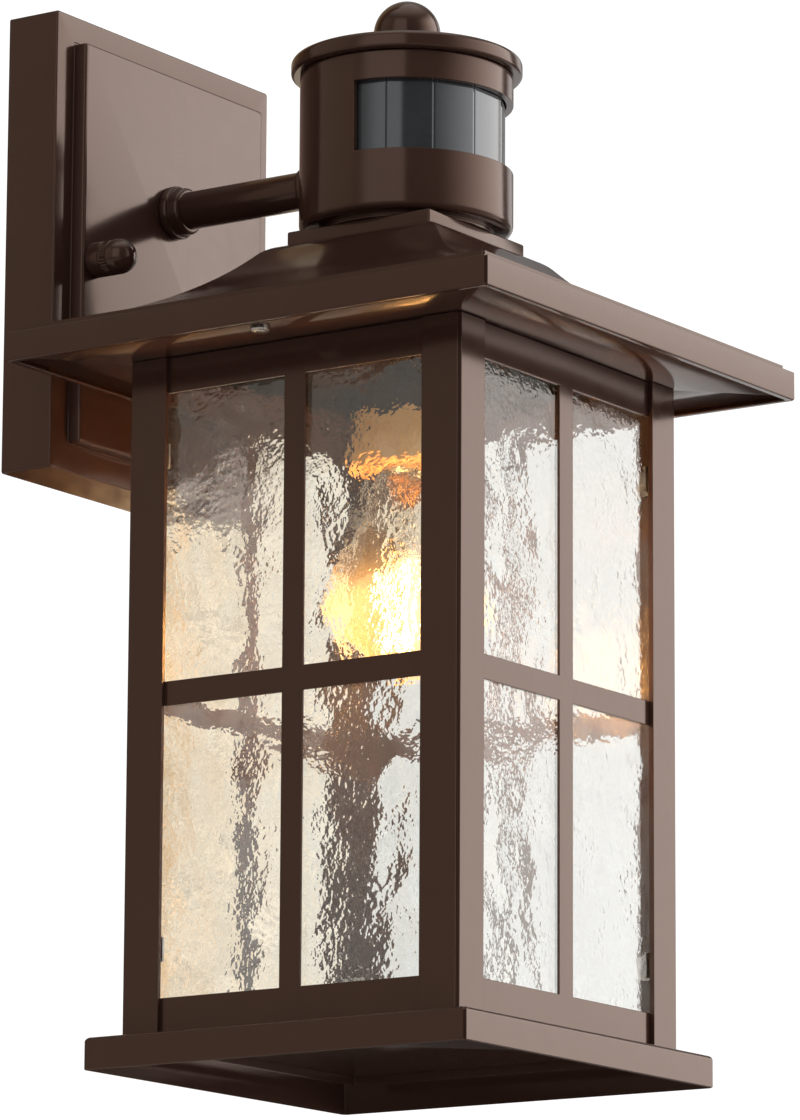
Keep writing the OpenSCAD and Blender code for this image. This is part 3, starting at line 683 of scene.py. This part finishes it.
def make_roof():
    """A folded sheet: flat crown, soft shoulder, long hollow flare, ledge, flat fascia and turned-in hem."""
    bottom = low("roof_shell").z
    hem_drop, fascia_height, hem = 2 * MM, 12 * MM, 0.8 * MM
    eave = SOFFIT_Z - hem_drop + fascia_height
    ledge, hem_edge, inside = ROOF_HALF - 3.5 * MM, ROOF_HALF - 3 * MM, ROOF_HALF - SHEET
    hole, crown = 5.2 * MM, half("step_plate")
    lean, thickness = 0.9 * MM, 1.4 * MM
    rounding, ease, cut = 0.45 * MM, 0.2 * MM, 1.0 * MM
    shoulder_bend, shoulder_end = (40.9 * MM, CROWN_Z - 1.2 * MM), (44 * MM, CROWN_Z - 4.6 * MM)
    flare_bend, flare_end = (67.1 * MM, CROWN_Z - 30 * MM), (ledge, eave + 2.6 * MM)
    skin = curve_points((crown, CROWN_Z), shoulder_bend, shoulder_end, 6)
    skin += curve_points(shoulder_end, flare_bend, flare_end, 30)[1:]
    fascia = arc((ROOF_HALF - rounding, eave - rounding), rounding, 90, 0, 3)
    fascia += arc((ROOF_HALF - hem, bottom + hem), hem, 0, -90, 4)
    fascia = [(r, h, cut) for r, h in fascia]
    lip = [(ROOF_HALF - 2.7 * MM, bottom, cut), (ROOF_HALF - 2.9 * MM, bottom + 0.1 * MM),
           (hem_edge, bottom + 0.3 * MM), (hem_edge, bottom + hem), (inside, bottom + hem),
           (inside, eave - SHEET), (ledge - lean, eave - SHEET)]
    under = [(r - lean, h - thickness) for r, h in reversed(skin)]
    profile = [(hole, CROWN_Z), *skin, (ledge, eave + ease, cut), (ledge + ease, eave, cut), *fascia, *lip,
               *under, (hole, CROWN_Z - thickness)]
    add_piece("roof_shell_folded", on_axis(square_turn(profile, 0.7 * MM)), "bronze_paint", "head",
              ["roof_shell"], sharp=28)


# ---------------------------------------------------------------- cage

def make_soffit():
    """The flat plate under the roof, open in the middle."""
    outer, inner = half("soffit_plate"), 69.8 * MM
    top = SOFFIT_Z + SHEET
    edge = 0.3 * MM
    profile = [(inner, SOFFIT_Z + edge), (inner + edge, SOFFIT_Z), (outer - edge, SOFFIT_Z),
               (outer, SOFFIT_Z + edge), (outer, top - edge), (outer - edge, top), (inner + edge, top),
               (inner, top - edge)]
    add_piece("soffit_plate_pressed", on_axis(square_turn(profile, 0.8 * MM)), "bronze_paint", "cage",
              ["soffit_plate"], sharp=40)


def make_posts():
    """Four angle posts with a slim rebate along each outer corner."""
    width, thickness, rebate = 18 * MM, 2 * MM, 1.2 * MM
    outline = [(rebate, rebate), (rebate, 0), (width, 0), (width, thickness), (thickness, thickness),
               (thickness, width), (0, width), (0, rebate)]
    shapes = []
    for quarter in range(4):
        rings = [[(x - CAGE_HALF, y - CAGE_HALF, z) for x, y in outline]
                 for z in (low("corner_posts").z, high("corner_posts").z)]
        points, faces = loft(rings, closed=False)
        count = len(outline)
        faces += [list(range(count)), list(range(count, 2 * count))]
        shapes.append(turned((points, faces), quarter))
    add_piece("corner_posts_folded", on_axis(joined(*shapes)), "bronze_paint", "cage", ["corner_posts"],
              bevel=0.22 * MM, sharp=40)


SIDES = {"front": 0, "right": 1, "back": 2, "left": 3}


def make_frame(side):
    """One side's pressed sheet with four openings."""
    plane = CAGE_HALF - 2 * MM
    base, height = low("frame_front").z, high("frame_front").z - low("frame_front").z
    half_width, stile, half_bar = 75 * MM, 16.5 * MM, 5 * MM
    bottom_rail, top_rail = 15 * MM, 14.5 * MM
    bar_low, bar_high = 132 * MM, 142 * MM
    edge = CAGE_HALF - stile
    xs = [-half_width, -edge, -half_bar, half_bar, edge, half_width]
    zs = [0, bottom_rail, bar_low, bar_high, height - top_rail, height]

    def at(depth):
        return [lambda u, z=z: (u, -depth, base + z) for z in zs]

    def keep(i, j):
        return not (i in (1, 3) and j in (1, 3))

    shape = thick_grid(xs, at(plane), at(plane - SHEET), keep)
    node = "frame_" + side
    add_piece(node + "_pressed", on_axis(turned(shape, SIDES[side])), "bronze_paint", "cage", [node],
              bevel=0.25 * MM, sharp=40)


def ripples(seed, shape, step, wavelength, spread=0.35):
    """Smooth random heights round one wavelength, scaled to a spread of 1."""
    rng = np.random.default_rng(seed)
    spectrum = np.fft.rfft2(rng.standard_normal(shape))
    across = np.fft.rfftfreq(shape[1], step)[None, :]
    along = np.fft.fftfreq(shape[0], step)[:, None]
    frequency = np.maximum(np.hypot(across, along), 1e-6)
    band = np.exp(-(np.log(frequency * wavelength) / spread) ** 2)
    field = np.fft.irfft2(spectrum * band, s=shape)
    return field / field.std()


def pane_relief(seed, shape, step):
    """Long soft waves with patches of fine ripples, as heights in metres."""
    patches = 1 / (1 + np.exp(-3.0 * (ripples(seed, shape, step, 34 * MM) + 0.1)))
    fine = ripples(seed + 1, shape, step, 2.6 * MM, 0.3) * 0.024 * MM * patches
    small = ripples(seed + 2, shape, step, 5.5 * MM) * 0.026 * MM * (0.25 + 0.75 * patches)
    long_waves = ripples(seed + 3, shape, step, 24 * MM, 0.45) * 0.12 * MM
    return fine + small + long_waves


def rim_fade(xs, zs, width):
    """A grid that is 1 inside and falls to 0 over that width at the edges."""
    across = np.minimum(xs - xs[0], xs[-1] - xs)[None, :]
    along = np.minimum(zs - zs[0], zs[-1] - zs)[:, None]
    return np.minimum(1, np.minimum(across, along) / width)


def relief_sheet(xs, zs, inner, outside):
    """A sheet over a grid of xs and zs. inner holds the depths of its uneven side, outside is flat."""
    columns, rows = len(xs), len(zs)
    points = [(x, -d, z) for z, row in zip(zs, inner) for x, d in zip(xs, row)]
    faces = []
    for j in range(rows - 1):
        start = j * columns
        faces += [[start + i, start + i + 1, start + columns + i + 1, start + columns + i]
                  for i in range(columns - 1)]
    border = list(range(columns))
    border += [j * columns + columns - 1 for j in range(1, rows)]
    border += [(rows - 1) * columns + i for i in range(columns - 2, -1, -1)]
    border += [j * columns for j in range(rows - 2, 0, -1)]
    first, count = len(points), len(border)
    points += [(points[b][0], -outside, points[b][2]) for b in border]
    for k in range(count):
        n = (k + 1) % count
        faces.append([border[k], border[n], first + n, first + k])
    faces.append([first + k for k in range(count)])
    return points, faces


def make_pane(side):
    """Water glass, flat outside and rippled inside."""
    node, flat_node = "glass_" + side, "glass_front"
    seed = 10 * SIDES[side] + 7
    half_width = half(flat_node)
    below, above = low(flat_node).z, high(flat_node).z
    outside = AXIS_Y - low(flat_node).y
    thickness, deepest, rim, step = 2.6 * MM, 0.36 * MM, 4 * MM, 0.65 * MM
    columns, rows = int(2 * half_width / step) + 1, int((above - below) / step) + 1
    xs = np.linspace(-half_width, half_width, columns)
    zs = np.linspace(below, above, rows)
    relief = pane_relief(seed, (rows, columns), step) * rim_fade(xs, zs, rim)
    inner = outside - thickness + np.clip(relief, -deepest, deepest)
    shape = on_axis(turned(relief_sheet(xs, zs, inner, outside), SIDES[side]))
    add_piece(node + "_rippled", shape, "water_glass", "cage", [node], sharp=50)


def make_tray():
    """A rimmed tray with a lipped opening."""
    outer, opening = half("base_tray"), 73 * MM
    bottom = low("base_tray").z
    lip, rounding, ease, cut = bottom + 9.6 * MM, 1.8 * MM, 0.4 * MM, 1.0 * MM
    profile = [(opening, lip), (opening, TRAY_Z)]
    profile += [(r, h, cut) for r, h in arc((outer - rounding, TRAY_Z - rounding), rounding, 90, 0, 5)]
    profile += [(outer, bottom + ease, cut), (outer - ease, bottom, cut), (outer - SHEET, bottom),
                (outer - SHEET, TRAY_Z - SHEET), (opening + SHEET, TRAY_Z - SHEET), (opening + SHEET, lip)]
    add_piece("base_tray_pressed", on_axis(square_turn(profile, 0.9 * MM)), "bronze_paint", "cage",
              ["base_tray"])


def make_floor_plate():
    """The plate recessed in the tray, eased along its edges."""
    size, bottom, top = half("floor_plate"), low("floor_plate").z, high("floor_plate").z
    centre, edge = 0.001 * MM, 0.3 * MM
    profile = [(centre, bottom), (size - edge, bottom), (size, bottom + edge), (size, top - edge),
               (size - edge, top), (centre, top)]
    add_piece("floor_plate_pressed", on_axis(square_turn(profile, 1.0 * MM)), "bronze_paint", "cage",
              ["floor_plate"], sharp=40)


# ---------------------------------------------------------------- bulb

def make_bulb():
    """The blown envelope: a globe that runs into its neck, with an even wall."""
    radius, tip, neck = half("bulb_glass"), low("bulb_glass").z, high("bulb_glass").z
    centre = tip + radius
    neck_r, spread, wall = 12.6 * MM, 2.6 * MM, 0.9 * MM
    leaving = 30
    slope = math.tan(math.radians(90 - leaving))

    def outline(inset):
        globe = arc((0, centre), radius - inset, -90, leaving, 36)
        join = globe[-1]
        bend_r = neck_r - inset + spread
        bend = (bend_r, join[1] + (join[0] - bend_r) * slope)
        return globe + curve_points(join, bend, (neck_r - inset, neck), 20)[1:]

    profile = outline(0) + outline(wall)[::-1]
    profile[0] = (0, profile[0][1])
    profile[-1] = (0, profile[-1][1])
    add_piece("bulb_glass_blown", on_axis(lathe(profile, 96)), "bulb_glass", "bulb", ["bulb_glass"])


# ---------------------------------------------------------------- finishes of the CAD pieces that stay

CAD_FINISHES = {
    "zinc_steel": ["crossbar", "crossbar_studs", "stud_nuts", "arm_nipples", "nipple_nuts", "roof_tabs",
                   "finial_stud", "glass_clips", "infrared_element"],
    "bright_screw": ["cage_screws", "plate_screws"],
    "brass": ["stem_tube", "screw_shell", "centre_contact", "bulb_base"],
    "porcelain": ["lampholder"],
    "black_plastic": ["lens_retainer", "board_holder", "control_plate", "bulb_contact"],
    "board_green": ["sensor_board"],
    "part_blue": ["relay", "dial_pots"],
    "sleeve_grey": ["capacitor"],
    "dial_white": ["time_dial"],
    "dial_amber": ["lux_dial"],
    "foam": ["wall_gasket"],
    "ground_green": ["ground_screw"],
    "lead_green": ["ground_lead"],
    "lead_black": ["supply_leads"],
    "lead_white": ["lamp_leads"],
    "wire_nut": ["wire_nuts"],
    "bulb_glass": ["filament_stem"],
    "filament": ["filaments"],
}


def finish_cad_pieces():
    """Gives each piece that keeps its CAD shape its finish."""
    for finish, nodes in CAD_FINISHES.items():
        for node in nodes:
            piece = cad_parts[node]
            piece.data.materials.clear()
            piece.data.materials.append(FINISHES[finish])


# ---------------------------------------------------------------- floor, light and camera

def flat_sheet(name, corners, material):
    """A flat four-cornered piece for the scene round the lantern."""
    mesh = bpy.data.meshes.new(name)
    mesh.from_pydata(corners, [], [[0, 1, 2, 3]])
    mesh.materials.append(material)
    sheet = bpy.data.objects.new(name, mesh)
    scene.collection.objects.link(sheet)
    return sheet


def make_floor():
    """A grey floor far below, for the views from above."""
    reach, level = 5.2, -2.4
    corners = [(-reach, -reach, level), (reach, -reach, level),
               (reach, reach, level), (-reach, reach, level)]
    paint = surface("floor_paint", (0.60, 0.60, 0.59), (0.64, 0.64, 0.63), (0.7, 0.8), 0.4, [(0.02, 0.0002)])
    floor = flat_sheet("floor", corners, paint)


def sky_angles(tree):
    """Azimuth, from the front and positive to the right, and elevation of a sky direction, in degrees."""
    direction = place_of(tree, "Generated")
    degrees = 180 / math.pi
    back = maths(tree, "MULTIPLY", direction["Y"], -1.0)
    azimuth = maths(tree, "MULTIPLY", maths(tree, "ARCTAN2", direction["X"], back), degrees)
    elevation = maths(tree, "MULTIPLY", maths(tree, "ARCSINE", direction["Z"]), degrees)
    return azimuth, elevation


# Studio boxes: azimuth and elevation as (dark, bright, bright, dark) in degrees, colour, strength
STUDIO_BOXES = [
    ((-24, 48, 67, 73), (-25, -8, 30, 52), (1.0, 0.93, 0.88), 2.85),
    ((-112, -95, -59, -56), (-20, -8, 34, 50), (1.0, 0.93, 0.88), 0.75),
    ((-179, -160, -120, -100), (-20, -8, 34, 50), (1.0, 0.82, 0.62), 0.27),
    ((80, 88, 108, 118), (-10, 0, 20, 35), (1.0, 0.95, 0.92), 1.0),
    ((-181, -180, 180, 181), (42, 75, 90, 91), (1.0, 0.97, 0.94), 0.9),
    ((-181, -180, 180, 181), (-91, -90, 90, 91), (1.0, 0.94, 0.88), 0.14),
]


def background(tree, colour, strength):
    """Light from the sky, of a plain strength or one that a socket gives."""
    node = tree.nodes.new("ShaderNodeBackground")
    node.inputs["Color"].default_value = (*colour, 1)
    if isinstance(strength, (int, float)):
        node.inputs["Strength"].default_value = strength
    else:
        link(tree, strength, node.inputs["Strength"])
    return node.outputs["Background"]


def studio_light(tree):
    """All the studio boxes, added together."""
    azimuth, elevation = sky_angles(tree)
    studio = None
    for across, up, colour, strength in STUDIO_BOXES:
        mask = strength
        for socket, (rise, full, still, gone) in ((azimuth, across), (elevation, up)):
            mask = maths(tree, "MULTIPLY", mask, step_between(tree, socket, rise, full))
            mask = maths(tree, "MULTIPLY", mask, step_between(tree, socket, still, gone, 1.0, 0.0))
        box = background(tree, colour, mask)
        if studio is None:
            studio = box
            continue
        total = tree.nodes.new("ShaderNodeAddShader")
        link(tree, studio, total.inputs[0])
        link(tree, box, total.inputs[1])
        studio = total.outputs["Shader"]
    return studio


def make_sky():
    """White behind the object and through its glass, and soft studio boxes for gloss and shade."""
    world = bpy.data.worlds.new("studio")
    scene.world = world
    world.use_nodes = True
    tree = world.node_tree
    tree.nodes.remove(tree.nodes["Background"])
    rays = tree.nodes.new("ShaderNodeLightPath")
    through = background(tree, (1.0, 0.99, 0.97), 0.95)
    backdrop = background(tree, (1.0, 1.0, 1.0), 1.1)
    inner = mix_shaders(tree, rays.outputs["Is Transmission Ray"], studio_light(tree), through)
    shown = mix_shaders(tree, rays.outputs["Is Camera Ray"], inner, backdrop)
    link(tree, shown, tree.nodes["World Output"].inputs["Surface"])


# The wall card's left edge, and its tones, each with its place along X in metres. The tones are painted
# light: darker towards the left edge, with the bulb's warm glow on the wall painted in beside the lamp,
# paling to the right.
CARD_LEFT = -0.07
CARD_TONES = [
    (-0.07, (0.10, 0.05, 0.02)), (-0.03, (0.45, 0.22, 0.09)), (0.03, (1.22, 0.80, 0.44)),
    (0.06, (1.25, 1.00, 0.72)), (0.14, (1.25, 1.08, 0.86)), (0.20, (1.15, 1.10, 1.02)),
    (0.29, (1.02, 1.01, 0.99)),
]


def card_tone(tree, x):
    """The card's colour across the width that the tones fill."""
    width = 0.37
    ramp = tree.nodes.new("ShaderNodeValToRGB")
    elements = ramp.color_ramp.elements
    while len(elements) < len(CARD_TONES):
        elements.new(0.5)
    for element, (place, colour) in zip(elements, CARD_TONES):
        element.position = (place - CARD_LEFT) / width
        element.color = (*colour, 1)
    across = maths(tree, "DIVIDE", maths(tree, "SUBTRACT", x, CARD_LEFT), width)
    link(tree, across, ramp.inputs["Fac"])
    return ramp.outputs["Color"]


def card_strength(tree, z):
    """The card's light, in uneven patches, dimmer above the lantern and darker below it, a painted shadow
    there.
    """
    patch, foot, head = 12 * MM, (-0.38, -0.31), (0.07, 0.12)
    uneven = remap(tree, noise(tree, patch, 2.0), 0.50, 1.0)
    # Painted shadow: the card fades to dark below the lantern.
    below = step_between(tree, z, *foot, 0.06, 1.0)
    above = step_between(tree, z, *head, 1.0, 0.4)
    return maths(tree, "MULTIPLY", uneven, maths(tree, "MULTIPLY", below, above))


def make_wall_card():
    """A glowing card where the wall would be, with the bulb's warm glow on the wall painted in beside the
    lamp. Only glass and gloss see it.
    """
    material, tree, shader = new_material("wall_card")
    tree.nodes.remove(shader)
    place = place_of(tree)
    light = tree.nodes.new("ShaderNodeEmission")
    link(tree, card_tone(tree, place["X"]), light.inputs["Color"])
    link(tree, card_strength(tree, place["Z"]), light.inputs["Strength"])
    link(tree, light.outputs["Emission"], tree.nodes["Material Output"].inputs["Surface"])
    material.cycles.emission_sampling = "NONE"
    right, bottom, top, depth = 1.0, -0.8, 0.6, 1.5 * MM
    corners = [(CARD_LEFT, depth, bottom), (right, depth, bottom),
               (right, depth, top), (CARD_LEFT, depth, top)]
    card = flat_sheet("wall_card", corners, material)
    card.visible_camera = False
    card.visible_diffuse = False
    card.visible_shadow = False
    card.visible_volume_scatter = False


def make_bulb_light():
    """The lit filaments' own light, as one small lamp in the globe."""
    lamp = bpy.data.lights.new("bulb_light", "POINT")
    lamp.color = (1.0, 0.50, 0.17)
    lamp.energy = 0.22
    lamp.shadow_soft_size = 0.012
    holder = bpy.data.objects.new("bulb_light", lamp)
    holder.location = (0, AXIS_Y, middle("filaments").z)
    holder.visible_camera = False
    holder.visible_transmission = False
    scene.collection.objects.link(holder)


def make_camera():
    """From the left and below, through a long lens, as a perspective fit places it."""
    target = Vector((-0.00305, AXIS_Y, SOFFIT_Z - 0.07684))
    back = Vector((-0.8093, -0.5508, -0.2043)).normalized()
    distance, roll = 2.4719, 0.322
    data = bpy.data.cameras.new("camera")
    data.lens = 196.3
    camera = bpy.data.objects.new("camera", data)
    facing = back.to_track_quat("Z", "Y").to_matrix()
    camera.matrix_world = (Matrix.Translation(target + back * distance)
                           @ (facing @ Matrix.Rotation(math.radians(roll), 3, "Z")).to_4x4())
    scene.collection.objects.link(camera)
    scene.camera = camera


make_camera()
make_floor()
make_sky()
make_wall_card()
make_bulb_light()
finish_cad_pieces()
make_wall_plate()
make_cap_nut("left_cap_nut", "left_nut")
make_cap_nut("right_cap_nut", "right_nut")
make_arm()
make_housing()
make_lens()
make_cap()
make_finial()
make_step_plate()
make_roof()
make_soffit()
make_posts()
for side in SIDES:
    make_frame(side)
    make_pane(side)
make_tray()
make_floor_plate()
make_bulb()
scene.view_settings.view_transform = "Standard"
